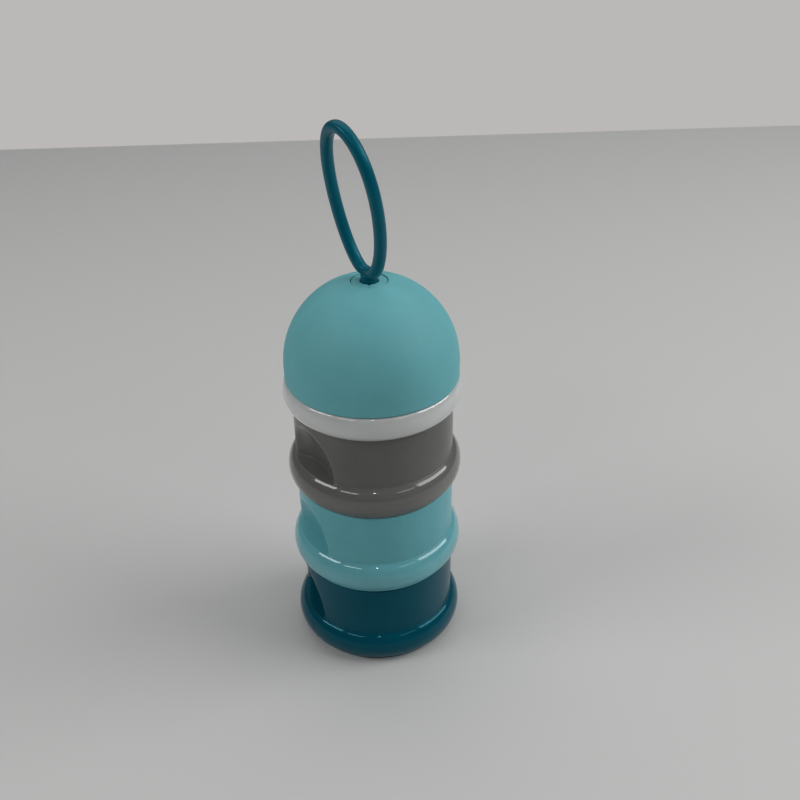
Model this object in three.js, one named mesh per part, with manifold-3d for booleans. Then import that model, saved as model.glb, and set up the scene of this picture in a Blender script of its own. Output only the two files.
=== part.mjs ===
// A stacking dispenser for milk powder: three compartments screwed together, a white
// pouring funnel, a dome cap and an elastomer carry loop. Millimetres, +Z up, the stack
// stands on Z = 0 round the Z axis, and -Y is the side of the top compartment's dimple.
import * as THREE from 'three';
import { mergeVertices } from 'three/addons/utils/BufferGeometryUtils.js';
import ManifoldModule from 'manifold-3d';

const wasm = await ManifoldModule();
wasm.setup();

// ---- driving dimensions ---------------------------------------------------------------
const SEGMENTS = 40;        // facets round the main axis
const GAP = 0.3;            // clearance between neighbouring pieces
const PITCH = 39.5;         // height one compartment adds to the stack
const RIM_R = 37;           // widest radius of a compartment's rounded rim
const RIM_A = 6.33;         // the rim section's half width
const RIM_B = 7.88;         // the rim section's half height
const WALL_R = 33.5;        // outside radius of a compartment's straight wall
const WALL_T = 1.8;         // moulding thickness
const FLOOR_LOW = 10.5;     // underside of a compartment's floor plate
const FLOOR_TOP = 12.5;
const NECK_R = 30.4;        // outside of the threaded neck
const NECK_IN = 28.6;
const NECK_TOP = 8.6;       // neck height above the next piece's lower edge
const SKIRT_R = 32.3;       // inside of the threaded skirt under a floor
const FOOT_R = 33.5;        // outer edge of the flat annulus a compartment stands on
const LEAD = 8;             // rise of one full turn, two starts
const THREAD_DEPTH = 1.45;
const THREAD_LOW = 1.2;     // lowest centre of the inner ridges
const SEAL_IN = 28.9;
const SEAL_OUT = 30.2;
const DIMPLE_R = 32.2;      // ball that forms a thumb dimple
const DIMPLE_OFF = 58.8;    // its distance from the axis
const DIMPLE_TURN = [-17.5, -9, 0];  // each compartment's dimple, degrees from -Y
const RING_R = 37.2;        // the white ring of the funnel
const RING_Z = 123.2;
const RING_B = 6.86;        // half height of its section below the widest line
const RING_UP_A = 5;        // above it the section is steeper, and cut off flat at 45 degrees
const RING_UP_B = 7.5;      // as a seat for the dome's edge
const SPOUT_R = 11;
const SPOUT_IN = 9.3;
const SPOUT_TOP = 157.5;
const DOME_R = 35.95;
const DOME_Z = 135;         // centre of the dome's sphere
const DOME_EDGE = 128.9;    // its open lower edge
const DOME_T = 1.8;
const DISC_R = 7.2;
const DISC_HOLE = 3.75;
const DISC_TOP = 170.3;
const DISC_LOW = 168.3;
const STEM_R = 3.4;
const COLLAR_TOP = 172.1;
const LOOP_T = 2.3;         // half thickness of the loop's tube
const LOOP_LOW = 173.2;     // its centre line's lowest point, which it also bends about
const LOOP_FORE = 0.8;      // how far that point lies in front of the axis
const LOOP_TALL = 30.27;    // half length of the loop's oval
const LOOP_WIDE = 14.66;    // half width
const LOOP_EGG = 0.085;     // how much wider the upper half is
const LOOP_LEAN = 7.2;      // lean towards -Y at the foot, degrees
const LOOP_BOW = 3.1;       // how much further forward the top bends

const rad = THREE.MathUtils.degToRad;
const shoulderZ = PITCH - GAP;
const rimRise = Math.sqrt(1 - ((WALL_R - RIM_R + RIM_A) / RIM_A) ** 2) * RIM_B;
const ledgeZ = RIM_B + rimRise;

// ---- helpers --------------------------------------------------------------------------
// A closed three.js surface as a solid, turned the right way out.
function solid(geometry) {
  const bare = new THREE.BufferGeometry();
  bare.setAttribute('position', geometry.getAttribute('position').clone());
  if (geometry.index) bare.setIndex(geometry.index.clone());
  const merged = mergeVertices(bare, 1e-4);
  const at = merged.getAttribute('position').array;
  const index = merged.index.array;
  const tris = [];
  const a = new THREE.Vector3(), b = new THREE.Vector3(), c = new THREE.Vector3();
  let volume = 0;
  for (let i = 0; i < index.length; i += 3) {
    const [p, q, r] = [index[i], index[i + 1], index[i + 2]];
    if (p === q || q === r || r === p) continue;
    tris.push(p, q, r);
    a.fromArray(at, 3 * p); b.fromArray(at, 3 * q); c.fromArray(at, 3 * r);
    volume += a.dot(b.cross(c));
  }
  if (volume < 0) {
    for (let i = 0; i < tris.length; i += 3) [tris[i], tris[i + 1]] = [tris[i + 1], tris[i]];
  }
  return new wasm.Manifold(new wasm.Mesh({
    numProp: 3, vertProperties: new Float32Array(at), triVerts: new Uint32Array(tris),
  }));
}

// A profile of [radius, height] points turned round the Z axis.
function turned(profile, segments = SEGMENTS) {
  const points = profile.map(([r, z]) => new THREE.Vector2(r, z));
  const lathe = new THREE.LatheGeometry(points, segments);
  return solid(lathe.rotateX(Math.PI / 2));
}

// Points along a quarter or more of an ellipse, angles in degrees from +R towards +Z.
function arc(r0, z0, a, b, from, to, steps) {
  const out = [];
  for (let i = 0; i <= steps; i++) {
    const t = rad(from + (to - from) * i / steps);
    out.push([r0 + a * Math.cos(t), z0 + b * Math.sin(t)]);
  }
  return out;
}

// One helical ridge of half a turn: wide at its root, narrow at its crest, both ends run out.
function ridge(rootR, crestR, lowZ, startDeg) {
  const steps = SEGMENTS / 2;
  const into = Math.sign(crestR - rootR);
  const verts = [], tris = [];
  for (let i = 0; i <= steps; i++) {
    const fade = Math.min(1, Math.min(i, steps - i) / 3);
    const reach = rootR + (crestR - rootR) * fade - into * 0.12 * (1 - fade);
    const phi = rad(startDeg + 180 * i / steps);
    const z = lowZ + LEAD / 2 * i / steps;
    for (const [r, dz] of [[rootR - into * 0.5, -1.1], [reach, -0.6], [reach, 0.6],
      [rootR - into * 0.5, 1.1]]) {
      verts.push(r * Math.sin(phi), -r * Math.cos(phi), z + dz);
    }
  }
  for (let i = 0; i < steps; i++) {
    for (let k = 0; k < 4; k++) {
      const a = 4 * i + k, b = 4 * i + (k + 1) % 4;
      tris.push(a, b, a + 4, b, b + 4, a + 4);
    }
  }
  const e = 4 * steps;
  tris.push(0, 3, 2, 0, 2, 1, e, e + 1, e + 2, e, e + 2, e + 3);
  const g = new THREE.BufferGeometry();
  g.setAttribute('position', new THREE.Float32BufferAttribute(verts, 3));
  g.setIndex(tris);
  return solid(g);
}

const outerThread = (z) => ridge(NECK_R, NECK_R + THREAD_DEPTH, z + THREAD_LOW + 2, 0)
  .add(ridge(NECK_R, NECK_R + THREAD_DEPTH, z + THREAD_LOW + 2, 180));
const innerThread = (z) => ridge(SKIRT_R, SKIRT_R - THREAD_DEPTH, z + THREAD_LOW, 0)
  .add(ridge(SKIRT_R, SKIRT_R - THREAD_DEPTH, z + THREAD_LOW, 180));

// Half a ball standing on a disc: the shape that presses a thumb dimple into a wall.
function presser(radius, lowZ, turnDeg) {
  const dome = arc(0, ledgeZ, radius, radius, 0, 90, 10).slice(0, -1);
  const ball = turned([[0, lowZ], [radius, lowZ], ...(lowZ < ledgeZ ? dome : dome.slice(1)),
    [0, ledgeZ + radius]]);
  return ball.translate([0, -DIMPLE_OFF, 0]).rotate([0, 0, turnDeg]);
}

function colour(name, solidShape, hex, roughness) {
  const { vertProperties, triVerts, numProp } = solidShape.getMesh();
  const g = new THREE.BufferGeometry();
  const at = new Float32Array(vertProperties.length / numProp * 3);
  for (let i = 0; i < at.length / 3; i++) {
    for (let k = 0; k < 3; k++) at[3 * i + k] = vertProperties[numProp * i + k];
  }
  g.setAttribute('position', new THREE.BufferAttribute(at, 3));
  g.setIndex(new THREE.BufferAttribute(new Uint32Array(triVerts), 1));
  g.computeVertexNormals();
  const mesh = new THREE.Mesh(g,
    new THREE.MeshStandardMaterial({ color: hex, roughness, metalness: 0 }));
  mesh.name = name;
  return mesh;
}

// ---- compartments ---------------------------------------------------------------------
// One moulding: a skirt with an inner thread under the floor, a rounded rim, a wall with
// two opposite thumb dimples, and a threaded neck for the piece above.
function compartment(turnDeg) {
  const body = turned([
    [0, FLOOR_LOW], [SKIRT_R, FLOOR_LOW], [SKIRT_R, 0], [FOOT_R, 0],
    ...arc(RIM_R - RIM_A, RIM_B, RIM_A, RIM_B, -58, 54, 8),
    [WALL_R, ledgeZ], [WALL_R, shoulderZ - 0.7], [WALL_R - 0.7, shoulderZ],
    [NECK_R, shoulderZ], [NECK_R, PITCH + NECK_TOP - 0.5],
    [NECK_R - 0.5, PITCH + NECK_TOP], [0, PITCH + NECK_TOP],
  ]);
  const inside = WALL_R - WALL_T;
  let hollow = turned([
    [0, FLOOR_TOP], [inside - 1.5, FLOOR_TOP], [inside, FLOOR_TOP + 1.5],
    [inside, shoulderZ - WALL_T - 3], [NECK_IN, shoulderZ - WALL_T],
    [NECK_IN, PITCH + NECK_TOP + 1], [0, PITCH + NECK_TOP + 1],
  ]);
  let shape = body.add(outerThread(PITCH));
  for (const side of [0, 180]) {
    shape = shape.subtract(presser(DIMPLE_R, ledgeZ, turnDeg + side));
    hollow = hollow.subtract(presser(DIMPLE_R + WALL_T, FLOOR_TOP - 1, turnDeg + side));
  }
  return shape.subtract(hollow).add(innerThread(0));
}

function seal(z) {
  const low = z + NECK_TOP + GAP, top = z + FLOOR_LOW - GAP;
  return turned([[SEAL_IN, low], [SEAL_OUT, low], [SEAL_OUT, top], [SEAL_IN, top],
    [SEAL_IN, low]], 32);
}

// ---- pouring funnel -------------------------------------------------------------------
const funnelLow = 3 * PITCH;
const hangR = WALL_R + 0.35;    // the ring's lip hangs round the wall below it
const spigotR = DOME_R - DOME_T - 0.35;
const ringTop = arc(RING_R - RING_UP_A, RING_Z, RING_UP_A, RING_UP_B, 0, 45, 5);
const funnelProfile = [
  [SEAL_IN - 2, funnelLow + FLOOR_LOW], [SKIRT_R, funnelLow + FLOOR_LOW],
  [SKIRT_R, funnelLow], [hangR, funnelLow],
  ...arc(RING_R - RIM_A, RING_Z, RIM_A, RING_B, -62, 0, 5).slice(0, -1),
  ...ringTop, [spigotR, ringTop.at(-1)[1]], [spigotR, DOME_EDGE + 3], [spigotR - 1.2, DOME_EDGE + 3.6],
  [spigotR - 2, funnelLow + FLOOR_LOW + 2.4], [SEAL_IN - 3, funnelLow + FLOOR_LOW + 2.4],
  [SPOUT_R + 1.5, SPOUT_TOP - 18], [SPOUT_R, SPOUT_TOP - 15.5],
  [SPOUT_R, SPOUT_TOP - 0.6], [SPOUT_R - 0.6, SPOUT_TOP], [SPOUT_IN + 0.3, SPOUT_TOP],
  [SPOUT_IN, SPOUT_TOP - 0.3], [SPOUT_IN, SPOUT_TOP - 17],
];
funnelProfile.push(funnelProfile[0].slice());
const funnel = turned(funnelProfile).add(innerThread(funnelLow));

// ---- dome cap -------------------------------------------------------------------------
const crown = DISC_LOW - GAP;      // floor of the disc's seat
const plugR = SPOUT_IN - 0.45;
const plugIn = 6.9;
const plugLow = SPOUT_TOP - 4.5;
const seatR = DISC_R + GAP;
const domeIn = DOME_R - DOME_T;
const reach = (r, R) => DOME_Z + Math.sqrt(R * R - r * r);
const edgeAngle = THREE.MathUtils.radToDeg(Math.acos(seatR / DOME_R));
const plugAngle = THREE.MathUtils.radToDeg(Math.acos(plugR / domeIn));
const dome = turned([
  [DISC_HOLE, crown], [DISC_HOLE, crown - 1.6], [plugIn, crown - 1.6], [plugIn, plugLow],
  [plugR - 0.5, plugLow], [plugR, plugLow + 0.7],
  ...arc(0, DOME_Z, domeIn, domeIn, plugAngle, 0, 8),
  [domeIn, DOME_EDGE + 0.5], [domeIn + 0.5, DOME_EDGE], [DOME_R - 0.6, DOME_EDGE],
  [DOME_R, DOME_EDGE + 0.6],
  ...arc(0, DOME_Z, DOME_R, DOME_R, 0, edgeAngle, 11),
  [seatR, crown], [DISC_HOLE, crown],
]);

// ---- crown disc: a washer with one slit that flares open at the top ---------------------
const washer = turned([[DISC_HOLE, DISC_LOW], [DISC_R, DISC_LOW], [DISC_R, DISC_TOP - 0.25],
  [DISC_R - 0.25, DISC_TOP], [DISC_HOLE, DISC_TOP], [DISC_HOLE, DISC_LOW]], 32);
const slit = new THREE.BoxGeometry(0.5, DISC_R, 3);
slit.translate(0, -DISC_R / 2 - 1, DISC_LOW + 1);
const disc = washer.subtract(solid(slit).rotate([0, 0, 54]));

// ---- loop: stem with a collar and a bulb, and the ring that bends over it ---------------
// The ring's lowest stretch lies in a saddle in the collar's top, shaped like that stretch
// turned round the X axis, so the ring can swing forward and back without touching it.
const bulbTop = crown - 1.6 - GAP;
const bendRadius = (LOOP_WIDE * (1 - LOOP_EGG)) ** 2 / LOOP_TALL;
const saddleProfile = [];
for (let x = -5; x <= 5; x += 1) {
  saddleProfile.push([LOOP_T + 0.2 + x * x / (2 * bendRadius), x]);
}
const saddle = turned([[0, -5], ...saddleProfile, [0, 5]], 24).rotate([0, 90, 0]);
const stem = turned([
  [0, bulbTop - 6.2], [2.2, bulbTop - 5.9], [4.4, bulbTop - 3.6], [5.3, bulbTop - 1.4],
  [5.2, bulbTop], [STEM_R, bulbTop], [STEM_R, COLLAR_TOP - 0.2],
  [STEM_R - 0.2, COLLAR_TOP], [0, COLLAR_TOP],
], 32).subtract(saddle.translate([0, -LOOP_FORE, LOOP_LOW]));

class Oval extends THREE.Curve {
  // an upright oval that leans forward and bends a little further forward as it rises
  getPoint(t, target = new THREE.Vector3()) {
    const u = 2 * Math.PI * t;
    const up = LOOP_TALL * (1 - Math.cos(u));
    const side = LOOP_WIDE * Math.sin(u) * (1 - LOOP_EGG * Math.cos(u));
    const bow = LOOP_BOW * (up / LOOP_TALL / 2) ** 2;
    const c = Math.cos(rad(LOOP_LEAN)), s = Math.sin(rad(LOOP_LEAN));
    return target.set(side, -LOOP_FORE - up * s - bow * c, LOOP_LOW + up * c - bow * s);
  }
}
const loop = solid(new THREE.TubeGeometry(new Oval(), 52, LOOP_T, 10, true));

// ---- assembly -------------------------------------------------------------------------
const TEAL = '#0f5c72', AQUA = '#8fd3da', TAUPE = '#8b8a86', WHITE = '#eeeeec';
const group = new THREE.Group();
group.name = 'formula_dispenser';
const place = (s, k) => s.translate([0, 0, k * PITCH]);
group.add(
  colour('base_compartment', place(compartment(DIMPLE_TURN[0]), 0), TEAL, 0.35),
  colour('lower_seal', seal(PITCH), '#e9e9e4', 0.6),
  colour('middle_compartment', place(compartment(DIMPLE_TURN[1]), 1), AQUA, 0.35),
  colour('upper_seal', seal(2 * PITCH), '#e9e9e4', 0.6),
  colour('upper_compartment', place(compartment(DIMPLE_TURN[2]), 2), TAUPE, 0.35),
  colour('funnel_seal', seal(3 * PITCH), '#e9e9e4', 0.6),
  colour('spout_funnel', funnel, WHITE, 0.2),
  colour('dome_cap', dome, AQUA, 0.6),
  colour('crown_disc', disc, AQUA, 0.5),
  colour('loop_stem', stem, TEAL, 0.5),
  colour('carry_loop', loop, TEAL, 0.5),
);

export default group;
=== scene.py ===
import bpy
import numpy as np
from mathutils import Matrix, Vector


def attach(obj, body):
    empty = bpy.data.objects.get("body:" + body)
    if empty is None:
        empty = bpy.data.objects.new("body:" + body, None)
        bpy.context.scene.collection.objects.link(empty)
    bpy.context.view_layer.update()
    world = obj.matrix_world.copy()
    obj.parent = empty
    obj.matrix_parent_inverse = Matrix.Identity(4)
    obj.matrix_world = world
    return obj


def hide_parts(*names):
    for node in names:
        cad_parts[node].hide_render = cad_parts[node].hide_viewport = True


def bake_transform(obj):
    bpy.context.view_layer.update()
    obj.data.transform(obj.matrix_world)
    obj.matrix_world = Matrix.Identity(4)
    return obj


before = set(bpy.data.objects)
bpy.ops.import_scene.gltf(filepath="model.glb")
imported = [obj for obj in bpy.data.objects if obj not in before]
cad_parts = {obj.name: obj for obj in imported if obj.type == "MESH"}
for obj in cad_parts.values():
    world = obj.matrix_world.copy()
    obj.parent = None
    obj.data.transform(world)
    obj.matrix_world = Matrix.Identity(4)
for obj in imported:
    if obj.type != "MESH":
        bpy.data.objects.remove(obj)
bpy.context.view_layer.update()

MM = 0.001

# ---- driving sizes ------------------------------------------------------------------------
PITCH = 39.5
RIM_MID, RIM_A, RIM_B = 30.67, 6.33, 7.88
WALL_R, WALL_T = 33.5, 1.8
FLOOR_LOW, FLOOR_TOP = 10.5, 12.5
NECK_R, NECK_IN, NECK_TOP = 30.4, 28.6, 48.1
SKIRT_R = 32.3
SHOULDER = 39.2
THREAD_DEPTH, THREAD_LOW = 1.45, 1.2
LEDGE_R = 33.9
LEDGE_LOW, LEDGE_HIGH = 14.65, 14.86
DIMPLE_R, DIMPLE_OFF, DIMPLE_LEDGE = 32.2, 58.8, 14.93
DIMPLE_EDGE = 1.0
RING_R, RING_Z, RING_SEAT = 37.2, 123.2, 128.55
RING_UP_A, RING_UP_B = 2.2, 5.62
SPOUT_R, SPOUT_IN, SPOUT_TOP = 11.0, 9.3, 157.5
DOME_R, DOME_Z, DOME_EDGE, DOME_T = 35.95, 135.0, 128.9, 1.8
DISC_R, DISC_HOLE, DISC_TOP, DISC_LOW = 7.2, 3.75, 170.3, 168.3
STEM_R, COLLAR_TOP = 3.45, 173.2
LOOP_T, LOOP_LOW, LOOP_FORE, LOOP_TALL, LOOP_WIDE = 2.33, 173.2, 0.8, 30.27, 14.66
LOOP_EGG, LOOP_LEAN, LOOP_BOW = 0.085, 7.2, 3.1
FOOT_REACH, FOOT_THIN = 0.22, 0.2          # of the loop where it leaves the collar
FOOT_SHIFT = (0, 0.3, 1.1)


# ---- camera -------------------------------------------------------------------------------
def look(azimuth, aside, back, height, pitch, roll, lens):
    """A camera seen from above at the azimuth: aside is how far it stands right of the
    stack's axis, back its distance from it, both across the floor."""
    a, p, r = np.radians([azimuth, pitch, roll])
    right = np.array([np.cos(a), np.sin(a), 0.0])
    away = np.array([-np.sin(a), np.cos(a), 0.0])
    place = right * aside - away * back + np.array([0, 0, height])
    ahead = away * np.cos(p) - np.array([0, 0, np.sin(p)])
    up = away * np.sin(p) + np.array([0, 0, np.cos(p)])
    side = right * np.cos(r) + up * np.sin(r)
    top = up * np.cos(r) - right * np.sin(r)
    data = bpy.data.cameras.new("camera")
    data.lens, data.sensor_width = lens, 36.0
    data.clip_start, data.clip_end = 0.01, 50.0
    camera = bpy.data.objects.new("camera", data)
    turn = Matrix((side, top, -ahead)).transposed().to_4x4()
    camera.matrix_world = Matrix.Translation(Vector(place)) @ turn
    bpy.context.scene.collection.objects.link(camera)
    bpy.context.scene.camera = camera
    return camera


look(azimuth=54.0, aside=0.01127, back=0.37118, height=0.34326, pitch=31.58,
     roll=-0.871, lens=46.911)


# ---- surfaces -----------------------------------------------------------------------------
def add_mesh(name, points, quads, tris, values):
    """Points in millimetres, index arrays of quads and triangles, and named values per
    point, as one smooth mesh object at the origin."""
    mesh = bpy.data.meshes.new(name)
    mesh.vertices.add(len(points))
    mesh.vertices.foreach_set("co", (points * MM).astype(np.float32).ravel())
    index = np.concatenate([quads.ravel(), tris.ravel()]).astype(np.int32)
    starts = np.concatenate([np.arange(len(quads)) * 4,
                             4 * len(quads) + np.arange(len(tris)) * 3]).astype(np.int32)
    mesh.loops.add(len(index))
    mesh.loops.foreach_set("vertex_index", index)
    mesh.polygons.add(len(starts))
    mesh.polygons.foreach_set("loop_start", starts)
    mesh.polygons.foreach_set("use_smooth", np.ones(len(starts), dtype=bool))
    mesh.update(calc_edges=True)
    for key, value in values.items():
        layer = mesh.attributes.new(key, "FLOAT", "POINT")
        layer.data.foreach_set("value", value.astype(np.float32).ravel())
    mesh.validate()
    thing = bpy.data.objects.new(name, mesh)
    bpy.context.scene.collection.objects.link(thing)
    return thing


def grid_quads(rows, cols, wrap_rows):
    """Quads of a rows x cols grid whose columns close on themselves, and its rows too if
    asked; row-major numbering."""
    i, j = np.meshgrid(np.arange(rows if wrap_rows else rows - 1), np.arange(cols),
                       indexing="ij")
    k, nxt = (i + 1) % rows, (j + 1) % cols
    return np.stack([i * cols + j, i * cols + nxt, k * cols + nxt, k * cols + j],
                    -1).reshape(-1, 4)


def turned(name, radius, height, azimuth, closed, **values):
    """A body turned round the Z axis: the point at row i and column j lies at radius[i, j]
    and height[i, j] on azimuth[j]. A closed section wraps round in i; an open one starts
    and ends on the axis, where its row becomes one point."""
    radius, height = np.broadcast_arrays(radius, height)
    if radius.shape[1] == 1:
        radius = np.repeat(radius, len(azimuth), 1)
        height = np.repeat(height, len(azimuth), 1)
    rows, cols = radius.shape
    a = np.radians(azimuth)
    points = np.stack([radius * np.sin(a), -radius * np.cos(a), height], -1)
    full = {k: np.broadcast_to(v, (rows, cols)) for k, v in values.items()}
    none = np.zeros((0, 3), dtype=int)
    if closed:
        return add_mesh(name, points.reshape(-1, 3), grid_quads(rows, cols, True), none,
                        full)
    inner = points[1:-1].reshape(-1, 3)
    first, last = points[0, 0], points[-1, 0]
    count = len(inner)
    j = np.arange(cols)
    nxt = (j + 1) % cols
    low = np.stack([np.full(cols, count), nxt, j], -1)
    top = (rows - 3) * cols
    high = np.stack([np.full(cols, count + 1), top + j, top + nxt], -1)
    packed = {k: np.concatenate([v[1:-1].ravel(), v[0, :1], v[-1, :1]])
              for k, v in full.items()}
    return add_mesh(name, np.concatenate([inner, [first, last]]),
                    grid_quads(rows - 2, cols, False), np.concatenate([low, high]), packed)


def straight(a, b, step=1.5):
    """Points from a to b, the step apart and closer at both ends; b itself left out."""
    a, b = np.array(a, float), np.array(b, float)
    n = max(3, int(np.ceil(np.linalg.norm(b - a) / step)) + 2)
    t = np.linspace(0, 1, n + 1)[:-1]
    t = np.sort(np.concatenate([t, [0.03, 0.97]]))
    return a + (b - a) * t[:, None]


def bend(a, corner, b, n=6):
    """A quadratic curve from a to b pulled towards the corner; b itself left out."""
    t = (np.arange(n) / n)[:, None]
    a, corner, b = (np.array(p, float) for p in (a, corner, b))
    return a * (1 - t) ** 2 + 2 * corner * t * (1 - t) + b * t ** 2


def rounded(points, radii, step=1.5, closed=True):
    """A section through the points with every corner rounded: straight runs joined by
    quadratic curves that start and end one radius away from the corner."""
    points = [np.array(p, float) for p in points]
    n = len(points)
    legs = []
    for i in range(n):
        before, here, after = points[i - 1], points[i], points[(i + 1) % n]
        r = radii[i]
        to_before = (before - here) / np.linalg.norm(before - here)
        to_after = (after - here) / np.linalg.norm(after - here)
        legs.append((here + to_before * r, here, here + to_after * r, r))
    out = []
    for i in range(n):
        start, corner, end, r = legs[i]
        if not closed and i in (0, n - 1):
            end = start = corner
            r = 0
        if r > 0:
            out.append(bend(start, corner, end))
        if closed or i < n - 1:
            nxt = legs[(i + 1) % n]
            goal = nxt[1] if not closed and i + 1 == n - 1 else nxt[0]
            out.append(straight(end, goal, step))
    if not closed:
        out.append(points[-1][None])
    return np.concatenate(out)


def soft_least(a, b, width):
    """The lesser of a and b, their crossing rounded over the width."""
    h = np.clip(0.5 + 0.5 * (b - a) / width, 0, 1)
    return b + (a - b) * h - width * h * (1 - h), 4 * h * (1 - h)


def smooth(t):
    t = np.clip(t, 0, 1)
    return t * t * (3 - 2 * t)


def thread(z, azimuth, low):
    """1 on the crest of a two-start thread and 0 between: each start rises 4 mm in half a
    turn from the low height, and fades in and out over its last 20 degrees."""
    part = np.mod(azimuth, 180) / 180
    away = np.abs(z - low - 4 * part)
    return smooth((1.0 - away) / 0.45) * smooth(np.minimum(part, 1 - part) * 9)


def pressed(azimuth, z, middle, radius):
    """Distance from the axis of two opposite balls' near sides at an azimuth and height
    over the ledge; far where a ball isn't met."""
    out = np.full(np.broadcast(azimuth, z).shape, 99.0)
    for turn in (middle, middle + 180):
        a = np.radians(np.mod(azimuth - turn + 180, 360) - 180)
        left = radius ** 2 - (DIMPLE_OFF * np.sin(a)) ** 2 - (z - DIMPLE_LEDGE) ** 2
        near = DIMPLE_OFF * np.cos(a) - np.sqrt(np.maximum(left, 0))
        out = np.where((left > 0) & (np.cos(a) > 0), np.minimum(out, near), out)
    return out


def dimple_azimuths(middle):
    """Column azimuths: 2.5 degrees apart, 0.75 within 32 degrees of a dimple's middle."""
    fine = np.arange(0, 360, 0.05)
    off = np.abs(np.mod(fine - middle + 90, 180) - 90)
    total = np.cumsum(np.where(off < 32, 0.05 / 0.75, 0.05 / 2.5))
    count = int(round(total[-1] / 4)) * 4
    return np.interp(np.arange(count) * total[-1] / count, total, fine)


def compartment(name, level, middle):
    """One moulding. Going round its section: under the floor, down the threaded skirt,
    over the flat foot, up the rim's ellipse, in along the ledge to the dimple's wall, up
    the wall pressed in by two balls, over the shoulder, up the threaded neck, and down
    the inside, whose wall is the same shape one moulding thickness further in."""
    az = dimple_azimuths(middle)[None]
    rows, gloss, edge = [], [], []

    # The last value paints the surface paler there, partly as edge wear and partly as a painted
    # highlight.
    def add(r, z, shine=0.0, wear_and_highlight=0.0):
        r, z = np.asarray(r, float), np.asarray(z, float)
        r, z = np.broadcast_arrays(r if r.ndim > 1 else r[:, None],
                                   z if z.ndim > 1 else z[:, None])
        r, z = (np.broadcast_to(v, (len(v), az.shape[1])) for v in (r, z))
        rows.append((r, z))
        gloss.append(np.broadcast_to(shine, r.shape))
        edge.append(np.broadcast_to(wear_and_highlight, r.shape))

    def add_path(p, shine=0.0, wear_and_highlight=0.0):
        add(p[:, 0], p[:, 1], shine, wear_and_highlight)

    foot = 0.3
    add([0, 6, 13, 20, 26, 30, 31.5], [FLOOR_LOW] * 7)
    add_path(bend([31.8, FLOOR_LOW], [SKIRT_R, FLOOR_LOW], [SKIRT_R, FLOOR_LOW - 0.5], 4))
    z = np.linspace(FLOOR_LOW - 0.5, foot, 50)[:-1, None]
    add(SKIRT_R - THREAD_DEPTH * thread(z, az, THREAD_LOW), z)
    add_path(bend([SKIRT_R, foot], [SKIRT_R, 0], [SKIRT_R + foot, 0], 4))
    add([32.6, 32.7, 33.1], [0, 0, 0])
    add_path(bend([33.2, 0], [33.65, 0.0], [33.84, 1.06], 6), 0.0, 0.2)
    t = np.radians(np.linspace(-60, 59.3, 46))
    add(RIM_MID + RIM_A * np.cos(t), RIM_B + RIM_B * np.sin(t),
        smooth(t / 0.6 + 1.0)[:, None])
    r_low, _ = soft_least(WALL_R, pressed(az, DIMPLE_LEDGE, middle, DIMPLE_R), DIMPLE_EDGE)
    t = np.concatenate([[0.003, 0.012, 0.04], np.linspace(0, 1, 12)[1:-1]])[:, None]
    inward = smooth((WALL_R - r_low) / 0.8)
    r = LEDGE_R + (r_low + 0.35 - LEDGE_R) * t
    z = LEDGE_LOW + (LEDGE_HIGH - LEDGE_LOW) * t
    add(r, z, 1 - inward * 0.55, 0.0)
    t = np.linspace(0, 1, 6)[:-1, None]
    top = LEDGE_HIGH + 0.4
    r_top, _ = soft_least(WALL_R, pressed(az, top, middle, DIMPLE_R), DIMPLE_EDGE)
    add((r_low + 0.35) * (1 - t) ** 2 + 2 * (r_low + 0.02) * t * (1 - t) + r_top * t ** 2,
        LEDGE_HIGH * (1 - t) ** 2 + 2 * LEDGE_HIGH * t * (1 - t) + top * t ** 2,
        (1 - inward * 0.55) * (1 - t))
    z = np.linspace(top, SHOULDER - 0.8, 44)[:-1, None]
    # Where the dimples cross the wall their rims are painted paler: a painted highlight on the
    # rounded edge, partly wear.
    r, crossing = soft_least(WALL_R, pressed(az, z, middle, DIMPLE_R), DIMPLE_EDGE)
    add(r, z, 0.0, crossing)
    add_path(bend([WALL_R, SHOULDER - 0.8], [WALL_R, SHOULDER], [WALL_R - 0.8, SHOULDER]),
             0.0, 0.4)
    add_path(straight([WALL_R - 0.8, SHOULDER], [NECK_R + 0.4, SHOULDER]))
    add_path(bend([NECK_R + 0.4, SHOULDER], [NECK_R, SHOULDER], [NECK_R, SHOULDER + 0.4], 4))
    z = np.linspace(SHOULDER + 0.4, NECK_TOP - 0.5, 60)[:-1, None]
    add(NECK_R + THREAD_DEPTH * thread(z, az, PITCH + THREAD_LOW + 2), z)
    add_path(bend([NECK_R, NECK_TOP - 0.5], [NECK_R, NECK_TOP], [NECK_R - 0.5, NECK_TOP]),
             0.0, 0.5)
    add_path(straight([NECK_R - 0.5, NECK_TOP], [NECK_IN + 0.5, NECK_TOP], 0.5))
    add_path(bend([NECK_IN + 0.5, NECK_TOP], [NECK_IN, NECK_TOP], [NECK_IN, NECK_TOP - 0.5]),
             0.0, 0.5)
    inside = WALL_R - WALL_T
    add_path(straight([NECK_IN, NECK_TOP - 0.5], [NECK_IN, 38.2], 2))
    add_path(bend([NECK_IN, 38.2], [NECK_IN, 37.2], [NECK_IN + 1, 36.5], 4))
    add_path(bend([NECK_IN + 1, 36.5], [inside, 35], [inside, 33.6], 6))
    z = np.linspace(33.6, FLOOR_TOP + 1.5, 28)[:-1, None]
    r, _ = soft_least(inside, pressed(az, np.maximum(z, DIMPLE_LEDGE), middle,
                                      DIMPLE_R + WALL_T), 1.5)
    add(r, z)
    shrink = (r[-1] / inside)[None]
    curve = bend([inside, FLOOR_TOP + 1.5], [inside, FLOOR_TOP], [inside - 1.5, FLOOR_TOP])
    add(curve[:, :1] * shrink, curve[:, 1:])
    add(np.array([[30.0], [27], [21], [14], [7]]) * shrink, np.full((5, 1), FLOOR_TOP))
    add([0], [FLOOR_TOP])
    r, z = (np.concatenate([row[k] for row in rows]) for k in (0, 1))
    return turned(name, r, z + level, az[0], False, gloss=np.concatenate(gloss),
                  edge=np.concatenate(edge))


ROUND = np.arange(0, 360, 360 / 200)


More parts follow.
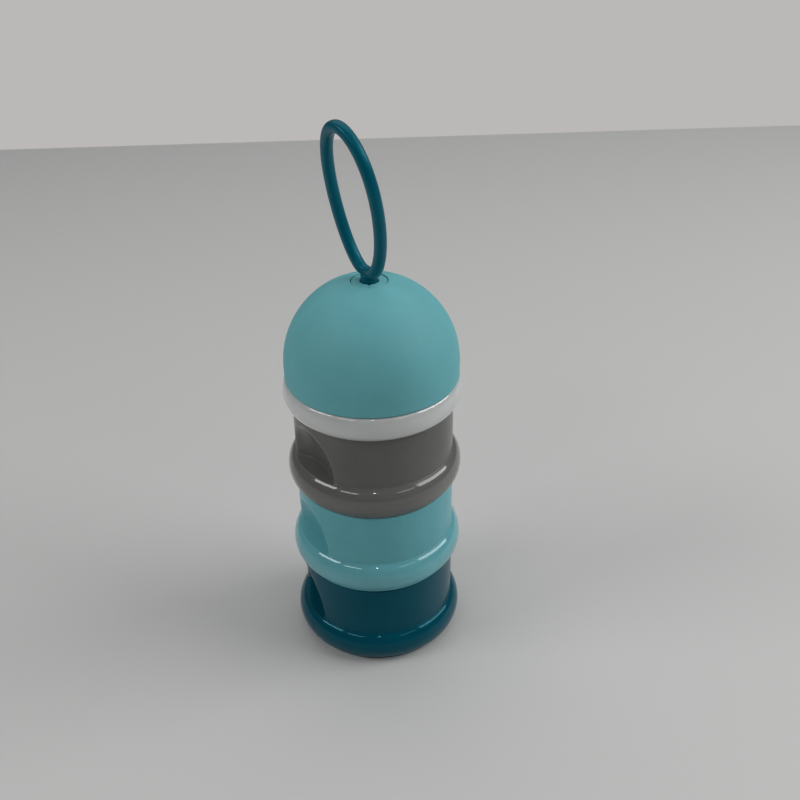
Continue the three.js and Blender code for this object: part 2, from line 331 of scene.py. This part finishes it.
def seal(name, level):
    """A flat ring with a rounded square section between a neck and the floor above it."""
    low, top = level + 8.9, level + FLOOR_LOW - 0.3
    p = rounded([[28.9, low], [30.2, low], [30.2, top], [28.9, top]], [0.3] * 4, 1.0)
    return turned(name, p[:, :1], p[:, 1:], ROUND, True, gloss=0.3, edge=0.0)


def funnel(name):
    """The white ring and its threaded skirt below, the spigot the dome sits on, the cone
    and the pouring spout. The ring's section is an ellipse below its widest line and a
    steeper one above it, cut off flat as a seat for the dome's edge."""
    low = 3 * PITCH
    lip = WALL_R + 0.35
    skirt_top = low + FLOOR_LOW
    parts, shine, wear_and_highlight = [], [], []

    # The value e paints the section paler: partly wear, partly a painted highlight.
    def add(p, s=0.3, e=0.0):
        parts.append(p)
        shine.append(np.full(len(p), s))
        wear_and_highlight.append(np.full(len(p), e))

    add(straight([27.4, skirt_top], [SKIRT_R - 0.5, skirt_top]))
    add(bend([SKIRT_R - 0.5, skirt_top], [SKIRT_R, skirt_top], [SKIRT_R, skirt_top - 0.5], 4))
    z = np.linspace(skirt_top - 0.5, low + 0.4, 48)[:-1]
    first = sum(len(p) for p in parts)
    add(np.stack([np.full_like(z, SKIRT_R), z], -1))
    last = sum(len(p) for p in parts)
    add(bend([SKIRT_R, low + 0.4], [SKIRT_R, low], [SKIRT_R + 0.4, low], 4))
    add(straight([SKIRT_R + 0.4, low], [lip - 0.2, low], 0.6))
    add(bend([lip - 0.2, low], [lip, low], [lip, low - 0.2], 3))
    foot = RING_Z - 6.86 * np.sin(np.radians(60))
    add(straight([lip, low - 0.2], [lip, foot + 0.25], 0.5))
    t = np.radians(-60)
    start = [RING_R - RIM_A + RIM_A * np.cos(t), foot]
    add(bend([lip, foot + 0.25], [lip, foot - 0.1], start, 4), 1.0, 0.3)
    t = np.radians(np.linspace(-60, 0, 26))[:-1]
    add(np.stack([RING_R - RIM_A + RIM_A * np.cos(t), RING_Z + 6.86 * np.sin(t)], -1), 1.0)
    t = np.radians(np.linspace(0, 66, 26))
    upper = np.stack([RING_R - RING_UP_A * (1 - np.cos(t)), RING_Z + RING_UP_B * np.sin(t)],
                     -1)
    add(upper, 1.0)
    # The seat's outer corner is painted paler: a painted highlight just under the dome's edge.
    corner = [RING_R - RING_UP_A * (1 - np.cos(np.radians(70.7))), RING_SEAT]
    add(bend(upper[-1] + [-0.02, 0.02], corner, [corner[0] - 0.35, RING_SEAT], 6), 1.0, 0.5)
    spigot = DOME_R - DOME_T - 0.35
    add(straight([corner[0] - 0.35, RING_SEAT], [spigot + 0.3, RING_SEAT], 0.6), 0.8)
    add(bend([spigot + 0.3, RING_SEAT], [spigot, RING_SEAT], [spigot, RING_SEAT + 0.3], 4))
    add(rounded([[spigot, RING_SEAT + 0.3], [spigot, DOME_EDGE + 3.4],
                 [spigot - 1.5, DOME_EDGE + 3.6], [spigot - 2.1, skirt_top + 2.4],
                 [25.9, skirt_top + 2.4], [SPOUT_R + 1.6, SPOUT_TOP - 18],
                 [SPOUT_R, SPOUT_TOP - 15], [SPOUT_R, SPOUT_TOP],
                 [SPOUT_IN, SPOUT_TOP], [SPOUT_IN, SPOUT_TOP - 17], [27.4, skirt_top]],
                [0, 0.6, 0.5, 1.0, 2.0, 1.2, 2.0, 0.7, 0.6, 3.0, 0], 1.2, False)[:-1], 0.4)
    p = np.concatenate(parts)
    r = np.repeat(p[:, :1], len(ROUND), 1)
    z = p[first:last, 1:]
    r[first:last] -= THREAD_DEPTH * thread(z, ROUND[None], low + THREAD_LOW)
    return turned(name, r, p[:, 1:], ROUND, True,
                  gloss=np.concatenate(shine)[:, None], edge=np.concatenate(wear_and_highlight)[:, None])


def dome(name):
    """A thin dome: a ball over a short straight skirt, a seat for the disc sunk in its
    crown, and inside the crown a boss whose ring plugs the spout."""
    inner = DOME_R - DOME_T
    crown = DISC_LOW - 0.3
    seat = DISC_R + 0.25
    plug = SPOUT_IN - 0.45
    plug_low = SPOUT_TOP - 4.5
    t_plug = np.arccos(plug / inner)
    t_seat = np.arccos((seat + 0.12) / DOME_R)
    t = np.linspace(t_plug, 0, 40)
    inside = np.stack([inner * np.cos(t), DOME_Z + inner * np.sin(t)], -1)
    t = np.linspace(0, t_seat, 80)
    outside = np.stack([DOME_R * np.cos(t), DOME_Z + DOME_R * np.sin(t)], -1)
    rim = outside[-1]
    parts = [
        rounded([[DISC_HOLE, crown - 0.3], [DISC_HOLE, crown - 1.6], [6.9, crown - 1.6],
                 [6.9, plug_low], [plug, plug_low], inside[0]],
                [0, 0.2, 0.4, 0.4, 0.6, 0], 1.2, False)[:-1],
        inside,
        rounded([[inner, DOME_Z - 0.3], [inner, DOME_EDGE], [DOME_R, DOME_EDGE],
                 [DOME_R, DOME_Z - 0.3]], [0, 0.4, 0.55, 0], 1.0, False),
        outside,
        bend(rim + [-0.02, 0.003], [seat, rim[1] + 0.02], [seat, rim[1] - 0.15], 6),
        rounded([[seat, rim[1] - 0.15], [seat, crown], [DISC_HOLE, crown],
                 [DISC_HOLE, crown - 0.3]], [0, 0.2, 0.2, 0], 0.8, False)[:-1],
    ]
    p = np.concatenate(parts)
    wear_and_highlight = np.zeros(len(p))
    # The dome's lower edge is painted paler: a painted highlight along its seam with the ring,
    # partly wear.
    wear_and_highlight[(p[:, 1] < DOME_EDGE + 0.5) & (p[:, 0] > DOME_R - 0.7)] = 0.5
    return turned(name, p[:, :1], p[:, 1:], ROUND, True, gloss=0.0, edge=wear_and_highlight[:, None])


def split_disc(name, towards):
    """A washer with one slit: its rounded section is carried from one side of the slit to
    the other, and the slit is a narrow gap that flares into a notch at the hole."""
    section = rounded([[DISC_HOLE, DISC_LOW], [DISC_R, DISC_LOW], [DISC_R, DISC_TOP - 0.42],
                       [DISC_HOLE, DISC_TOP - 0.15]], [0.15, 0.2, 0.2, 0.3], 0.3)
    half = 0.05 + 0.8 * smooth((4.7 - section[:, 0]) / 1.0)
    shy = np.degrees(np.arcsin(half / section[:, 0]))[:, None]
    t = smooth(np.linspace(0, 1, 120))[None]
    a = np.radians(towards + shy + (360 - 2 * shy) * t)
    points = np.stack([section[:, :1] * np.sin(a), -section[:, :1] * np.cos(a),
                       np.repeat(section[:, 1:], 120, 1)], -1)
    rows, cols = a.shape
    i, j = np.meshgrid(np.arange(rows), np.arange(cols - 1), indexing="ij")
    k = (i + 1) % rows
    quads = np.stack([i * cols + j, i * cols + j + 1, k * cols + j + 1, k * cols + j],
                     -1).reshape(-1, 4)
    ends = points[:, [0, -1]].mean(0)
    i = np.arange(rows)
    k = (i + 1) % rows
    n = rows * cols
    tris = np.concatenate([
        np.stack([np.full(rows, n), i * cols, k * cols], -1),
        np.stack([np.full(rows, n + 1), k * cols + cols - 1, i * cols + cols - 1], -1)])
    flat = np.concatenate([points.reshape(-1, 3), ends])
    return add_mesh(name, flat, quads, tris,
                    {"gloss": np.zeros(len(flat)), "edge": np.zeros(len(flat))})


def carry_loop(name):
    """The stem is a turned profile from the bulb to the collar. The ring is a rounded
    section carried along an upright oval that leans forward and bends further forward as
    it rises; its section is a little square, and where it grows out of the collar it is
    thinner and lifted."""
    crown = DISC_LOW - 0.3
    top = crown - 1.6 - 0.3
    p = rounded([[0, top - 6.2], [3.2, top - 6.0], [5.4, top - 1.6], [5.2, top],
                 [STEM_R, top], [STEM_R, COLLAR_TOP + 0.1], [0, COLLAR_TOP + 0.1]],
                [0, 1.6, 0.9, 0.4, 0.3, 0.35, 0], 0.6, False)
    stem = turned(name, p[:, :1], p[:, 1:], np.arange(0, 360, 5), False, gloss=0.0,
                  edge=0.0)
    n, m = 360, 40
    u = 2 * np.pi * np.arange(n)[:, None] / n
    lean_c, lean_s = np.cos(np.radians(LOOP_LEAN)), np.sin(np.radians(LOOP_LEAN))
    rise = np.array([0.0, -lean_s, lean_c])
    ahead = np.array([0.0, -lean_c, -lean_s])
    across = np.array([1.0, 0.0, 0.0])
    up = LOOP_TALL * (1 - np.cos(u))
    side = LOOP_WIDE * np.sin(u) * (1 - LOOP_EGG * np.cos(u))
    bow = LOOP_BOW * (up / LOOP_TALL / 2) ** 2
    foot = np.exp(-(np.minimum(u, 2 * np.pi - u) / FOOT_REACH) ** 2)
    line = up * rise + side * across + bow * ahead + np.array([0, -LOOP_FORE, LOOP_LOW])
    line += foot * np.array(FOOT_SHIFT)
    along = np.roll(line, -1, 0) - np.roll(line, 1, 0)
    along /= np.linalg.norm(along, axis=1, keepdims=True)
    out = np.cross(along, ahead)
    out /= np.linalg.norm(out, axis=1, keepdims=True)
    normal = np.cross(out, along)
    v = 2 * np.pi * np.arange(m)[None] / m
    c, s = np.cos(v), np.sin(v)
    q = (np.abs(c) ** 2.4 + np.abs(s) ** 2.4) ** (-1 / 2.4)
    thick = LOOP_T * (1 - FOOT_THIN * foot)
    ring = (line[:, None] + (thick * q * c)[..., None] * out[:, None]
            + (thick * q * s)[..., None] * normal[:, None])
    quads = grid_quads(n, m, True)
    hoop = add_mesh(name + "_hoop", ring.reshape(-1, 3), quads, np.zeros((0, 3), int),
                    {"gloss": np.zeros(n * m), "edge": np.zeros(n * m)})
    return stem, hoop


def merged(stem, hoop):
    """Both closed surfaces become one skin on 0.22 mm cells, whose crease is eased."""
    bpy.context.view_layer.update()
    union = stem.modifiers.new("union", "BOOLEAN")
    union.operation, union.solver, union.object = "UNION", "EXACT", hoop
    cells = stem.modifiers.new("cells", "REMESH")
    cells.mode, cells.voxel_size, cells.use_smooth_shade = "VOXEL", 0.22 * MM, True
    ease = stem.modifiers.new("ease", "SMOOTH")
    ease.factor, ease.iterations = 0.5, 8
    done = bpy.data.meshes.new_from_object(
        stem.evaluated_get(bpy.context.evaluated_depsgraph_get()))
    name = stem.name
    for old in (hoop, stem):
        bpy.data.objects.remove(old)
    thing = bpy.data.objects.new(name, done)
    bpy.context.scene.collection.objects.link(thing)
    done.polygons.foreach_set("use_smooth", np.ones(len(done.polygons), dtype=bool))
    return thing


# ---- finishes -----------------------------------------------------------------------------
def node(tree, kind, place=(0, 0), **settings):
    made = tree.nodes.new(kind)
    made.location = place
    for key, value in settings.items():
        if key in made.inputs:
            made.inputs[key].default_value = value
        else:
            setattr(made, key, value)
    return made


def plastic(name, colour, rough, gloss_rough=None, grain=0.0, grain_scale=2500.0,
            mottle=0.03, scuff=0.04, coat=0.8, milk=0.0, specular=0.2, tint=(1.0, 1.0, 1.0)):
    """Moulded plastic: a slightly uneven colour, faint flow clouds, fine handling scuffs,
    edges painted paler, partly as wear and partly as a painted highlight, and a surface whose
    roughness falls from the wall's to the polished rim's where the gloss value rises."""
    material = bpy.data.materials.new(name)
    material.use_nodes = True
    tree = material.node_tree
    tree.nodes.clear()
    link = tree.links.new
    out = node(tree, "ShaderNodeOutputMaterial", (900, 0))
    shader = node(tree, "ShaderNodeBsdfPrincipled", (600, 0))
    shader.inputs["Specular IOR Level"].default_value = specular
    shader.inputs["Coat Roughness"].default_value = 0.045
    shader.inputs["Subsurface Weight"].default_value = milk
    shader.inputs["Subsurface Radius"].default_value = (0.004, 0.004, 0.004)
    shader.inputs["Subsurface Scale"].default_value = 1.0
    shader.inputs["Specular Tint"].default_value = (*tint, 1)
    link(shader.outputs[0], out.inputs[0])
    where = node(tree, "ShaderNodeTexCoord", (-1200, 0)).outputs["Object"]

    def noise(scale, detail, place, stretch=None):
        made = node(tree, "ShaderNodeTexNoise", place, Scale=scale, Detail=detail,
                    Roughness=0.6)
        if stretch:
            turn = node(tree, "ShaderNodeMapping", (place[0] - 200, place[1]))
            turn.inputs["Scale"].default_value = stretch
            link(where, turn.inputs[0])
            link(turn.outputs[0], made.inputs["Vector"])
        else:
            link(where, made.inputs["Vector"])
        return made.outputs[0]

    def ranged(value, low, high, to_low, to_high, place):
        made = node(tree, "ShaderNodeMapRange", place)
        made.inputs["From Min"].default_value = low
        made.inputs["From Max"].default_value = high
        made.inputs["To Min"].default_value = to_low
        made.inputs["To Max"].default_value = to_high
        link(value, made.inputs["Value"])
        return made.outputs[0]

    def sums(a, b, place):
        made = node(tree, "ShaderNodeMath", place, operation="ADD")
        link(a, made.inputs[0])
        link(b, made.inputs[1])
        return made.outputs[0]

    edge = node(tree, "ShaderNodeAttribute", (-900, -700), attribute_name="edge")
    shine = node(tree, "ShaderNodeAttribute", (-900, -500), attribute_name="gloss")
    clouds = noise(28.0, 4.0, (-900, 300))
    speck = noise(900.0, 3.0, (-900, 100))
    scuffs = noise(420.0, 5.0, (-900, -100))
    dark = [c * (1 - 3 * mottle) for c in colour]
    pale = [min(1.0, c * (1 + 2 * mottle)) for c in colour]
    blend = node(tree, "ShaderNodeMix", (-300, 300), data_type="RGBA")
    link(ranged(sums(clouds, ranged(speck, 0.3, 0.7, -0.05, 0.05, (-700, 100)), (-600, 250)),
                0.35, 0.65, 0.0, 1.0, (-480, 250)), blend.inputs[0])
    blend.inputs[6].default_value = (*dark, 1)
    blend.inputs[7].default_value = (*pale, 1)
    # The edge value mixes in a paler colour: partly edge wear, partly a painted highlight along
    # rims, seams and dimple edges.
    wear_and_highlight = node(tree, "ShaderNodeMix", (0, 300), data_type="RGBA")
    link(ranged(edge.outputs["Fac"], 0.0, 1.0, 0.0, 0.22, (-300, 50)), wear_and_highlight.inputs[0])
    link(blend.outputs[2], wear_and_highlight.inputs[6])
    wear_and_highlight.inputs[7].default_value = (*[min(1.0, c * 1.25 + 0.06) for c in colour], 1)
    link(wear_and_highlight.outputs[2], shader.inputs["Base Color"])
    link(ranged(shine.outputs["Fac"], 0.0, 1.0, 0.0, coat, (-300, -500)),
         shader.inputs["Coat Weight"])
    base = ranged(shine.outputs["Fac"], 0.0, 1.0, rough,
                  rough if gloss_rough is None else gloss_rough, (-600, -500))
    link(sums(base, ranged(scuffs, 0.35, 0.75, -scuff * 0.5, scuff, (-600, -100)),
              (-300, -300)), shader.inputs["Roughness"])
    bump = node(tree, "ShaderNodeBump", (300, -400), Strength=0.25, Distance=0.00004)
    height = sums(ranged(noise(grain_scale, 2.0, (-900, -900)), 0.0, 1.0, 0.0, grain,
                         (-600, -900)),
                  ranged(clouds, 0.0, 1.0, 0.0, 0.6, (-600, -1050)), (-300, -900))
    link(height, bump.inputs["Height"])
    link(bump.outputs[0], shader.inputs["Normal"])
    return material


def finish(thing, material, body, nodes):
    thing.data.materials.clear()
    thing.data.materials.append(material)
    if body:
        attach(thing, body)
    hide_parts(*nodes)
    return thing


TEAL = (0.001, 0.068, 0.102)
TURQUOISE = (0.145, 0.44, 0.49)
TAUPE = (0.140, 0.138, 0.130)
WHITE = (0.60, 0.615, 0.61)
AQUA = (0.15, 0.46, 0.50)
MILKY = (0.75, 0.75, 0.70)

finish(compartment("teal_compartment", 0, -17.5),
       plastic("teal_plastic", TEAL, 0.24, 0.08, scuff=0.015, specular=0.25,
               tint=(0.10, 0.75, 1.0), coat=0.1), "base",
       ["base_compartment"])
finish(compartment("turquoise_compartment", PITCH, -9),
       plastic("turquoise_plastic", TURQUOISE, 0.26, 0.12, scuff=0.015,
               tint=(0.5, 0.95, 1.0)), "middle",
       ["middle_compartment"])
finish(compartment("taupe_compartment", 2 * PITCH, 0),
       plastic("taupe_plastic", TAUPE, 0.25, 0.16, scuff=0.015), "upper",
       ["upper_compartment"])
for k, (piece, body, replaced, slot) in enumerate([
        ("lower_ring_seal", "lower_ring", "lower_seal", "lower_silicone"),
        ("upper_ring_seal", "upper_ring", "upper_seal", "upper_silicone"),
        ("funnel_ring_seal", "funnel_ring", "funnel_seal", "funnel_silicone")]):
    finish(seal(piece, (k + 1) * PITCH),
           plastic(slot, MILKY, 0.5, milk=0.3, grain=0.3), body, [replaced])
finish(funnel("white_funnel"), plastic("white_plastic", WHITE, 0.25, 0.10, mottle=0.01,
                                       milk=0.15, scuff=0.01, specular=0.5, coat=1.0), "funnel",
       ["spout_funnel"])
finish(dome("aqua_dome"), plastic("aqua_dome_plastic", AQUA, 0.55, grain=1.0,
                                  mottle=0.02, scuff=0.05), "dome",
       ["dome_cap"])
finish(split_disc("aqua_disc", 54.0), plastic("aqua_disc_plastic", AQUA, 0.45, grain=0.4),
       "dome", ["crown_disc"])
loop = merged(*carry_loop("teal_loop"))
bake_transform(loop)
finish(loop, plastic("loop_elastomer", (0.001, 0.100, 0.145), 0.32, grain=0.4, scuff=0.05,
                     specular=0.35, tint=(0.15, 0.8, 1.0)), None,
       ["carry_loop", "loop_stem"])


# ---- table, world and light ---------------------------------------------------------------
def sheet_of(name, corners, colour, rough):
    """A flat rectangle of table or wall with a faint unevenness."""
    mesh = bpy.data.meshes.new(name)
    mesh.from_pydata(corners, [], [(0, 1, 2, 3)])
    mesh.update()
    thing = bpy.data.objects.new(name, mesh)
    bpy.context.scene.collection.objects.link(thing)
    material = bpy.data.materials.new(name)
    material.use_nodes = True
    tree = material.node_tree
    shader = tree.nodes["Principled BSDF"]
    shader.inputs["Roughness"].default_value = rough
    where = node(tree, "ShaderNodeTexCoord")
    clouds = node(tree, "ShaderNodeTexNoise", Scale=3.0, Detail=3.0)
    ramp = node(tree, "ShaderNodeMix", data_type="RGBA")
    ramp.inputs[6].default_value = (*[c * 0.985 for c in colour], 1)
    ramp.inputs[7].default_value = (*colour, 1)
    tree.links.new(where.outputs["Object"], clouds.inputs["Vector"])
    tree.links.new(clouds.outputs[0], ramp.inputs[0])
    tree.links.new(ramp.outputs[2], shader.inputs["Base Color"])
    mesh.materials.append(material)
    return thing


def lamp(name, azimuth, elevation, away, wide, tall, roll, radiance):
    """A rectangular lamp facing the stack from the azimuth, counted from straight away from
    the camera towards its right, at the elevation and distance; its width and height are
    the angles they fill, rolled about its own aim, and its power follows from them and
    the radiance."""
    a, e = np.radians([azimuth, elevation])
    middle = Vector((0, 0, 0.1))
    place = middle + Vector(seen_from_camera(away * np.cos(e) * np.sin(a),
                                             away * np.cos(e) * np.cos(a),
                                             away * np.sin(e)))
    data = bpy.data.lights.new(name, "AREA")
    data.shape = "RECTANGLE"
    data.size, data.size_y = (2 * away * np.tan(np.radians(v) / 2) for v in (wide, tall))
    data.energy = radiance * np.pi * data.size * data.size_y
    thing = bpy.data.objects.new(name, data)
    aim = (middle - place).to_track_quat("-Z", "Y").to_matrix().to_4x4()
    thing.matrix_world = (Matrix.Translation(place) @ aim
                          @ Matrix.Rotation(np.radians(roll), 4, "Z"))
    thing.visible_camera = False
    bpy.context.scene.collection.objects.link(thing)
    return thing


def seen_from_camera(right, away, up):
    """A place given as metres right of the stack's axis, away from the camera, and up."""
    a = np.radians(54.0)
    return (right * np.cos(a) - away * np.sin(a), right * np.sin(a) + away * np.cos(a), up)


def across_floor(name, near, far, slope, half, colour, rough):
    """A table top from near to far of the stack, whose far edge runs a little askew."""
    corners = [seen_from_camera(x, y, 0.0) for x, y in
               ((-half, near), (half, near), (half, far + slope * half / 2),
                (-half, far - slope * half / 2))]
    return sheet_of(name, corners, colour, rough)


across_floor("floor", -1.2, 0.72, 0.10, 1.2, (0.62, 0.62, 0.61), 0.5)
world = bpy.data.worlds.new("studio")
world.use_nodes = True
tree = world.node_tree
near_air = tree.nodes["Background"]
near_air.inputs[0].default_value = (0.95, 0.97, 1.0, 1)
near_air.inputs[1].default_value = 0.075
far_air = node(tree, "ShaderNodeBackground", Strength=1.0)
far_air.inputs[0].default_value = (0.497, 0.483, 0.473, 1)
either = node(tree, "ShaderNodeMixShader")
rays = node(tree, "ShaderNodeLightPath")
tree.links.new(rays.outputs["Is Camera Ray"], either.inputs[0])
tree.links.new(near_air.outputs[0], either.inputs[1])
tree.links.new(far_air.outputs[0], either.inputs[2])
tree.links.new(either.outputs[0], tree.nodes["World Output"].inputs[0])
bpy.context.scene.world = world
bpy.context.scene.view_settings.view_transform = "Standard"
for name, *values in (
        ("ceiling", 0, 72, 1.3, 50, 40, 0, 0.95),
        ("back", 0, 40, 1.35, 70, 22, 0, 0.4),
        ("back_left", -55, 45, 1.0, 36, 14, 0, 0.6),
        ("back_right", 55, 45, 1.0, 36, 14, 0, 0.5),
        ("left", -106, 37, 1.5, 27, 13, 20, 6.8),
        ("near_left", -145, 37, 1.5, 20, 6, 0, 5.5),
        ("near_right", 137, 34, 1.5, 20, 5, 0, 3.0),
        ("right", 92, 31, 1.5, 44, 16, -20, 5.6),
        ("right_high", 84, 50, 1.5, 34, 22, -15, 2.0),
        ("spark", 180, 46, 1.5, 1.3, 6, 0, 30.0)):
    lamp(name, *values)

bpy.context.view_layer.update()
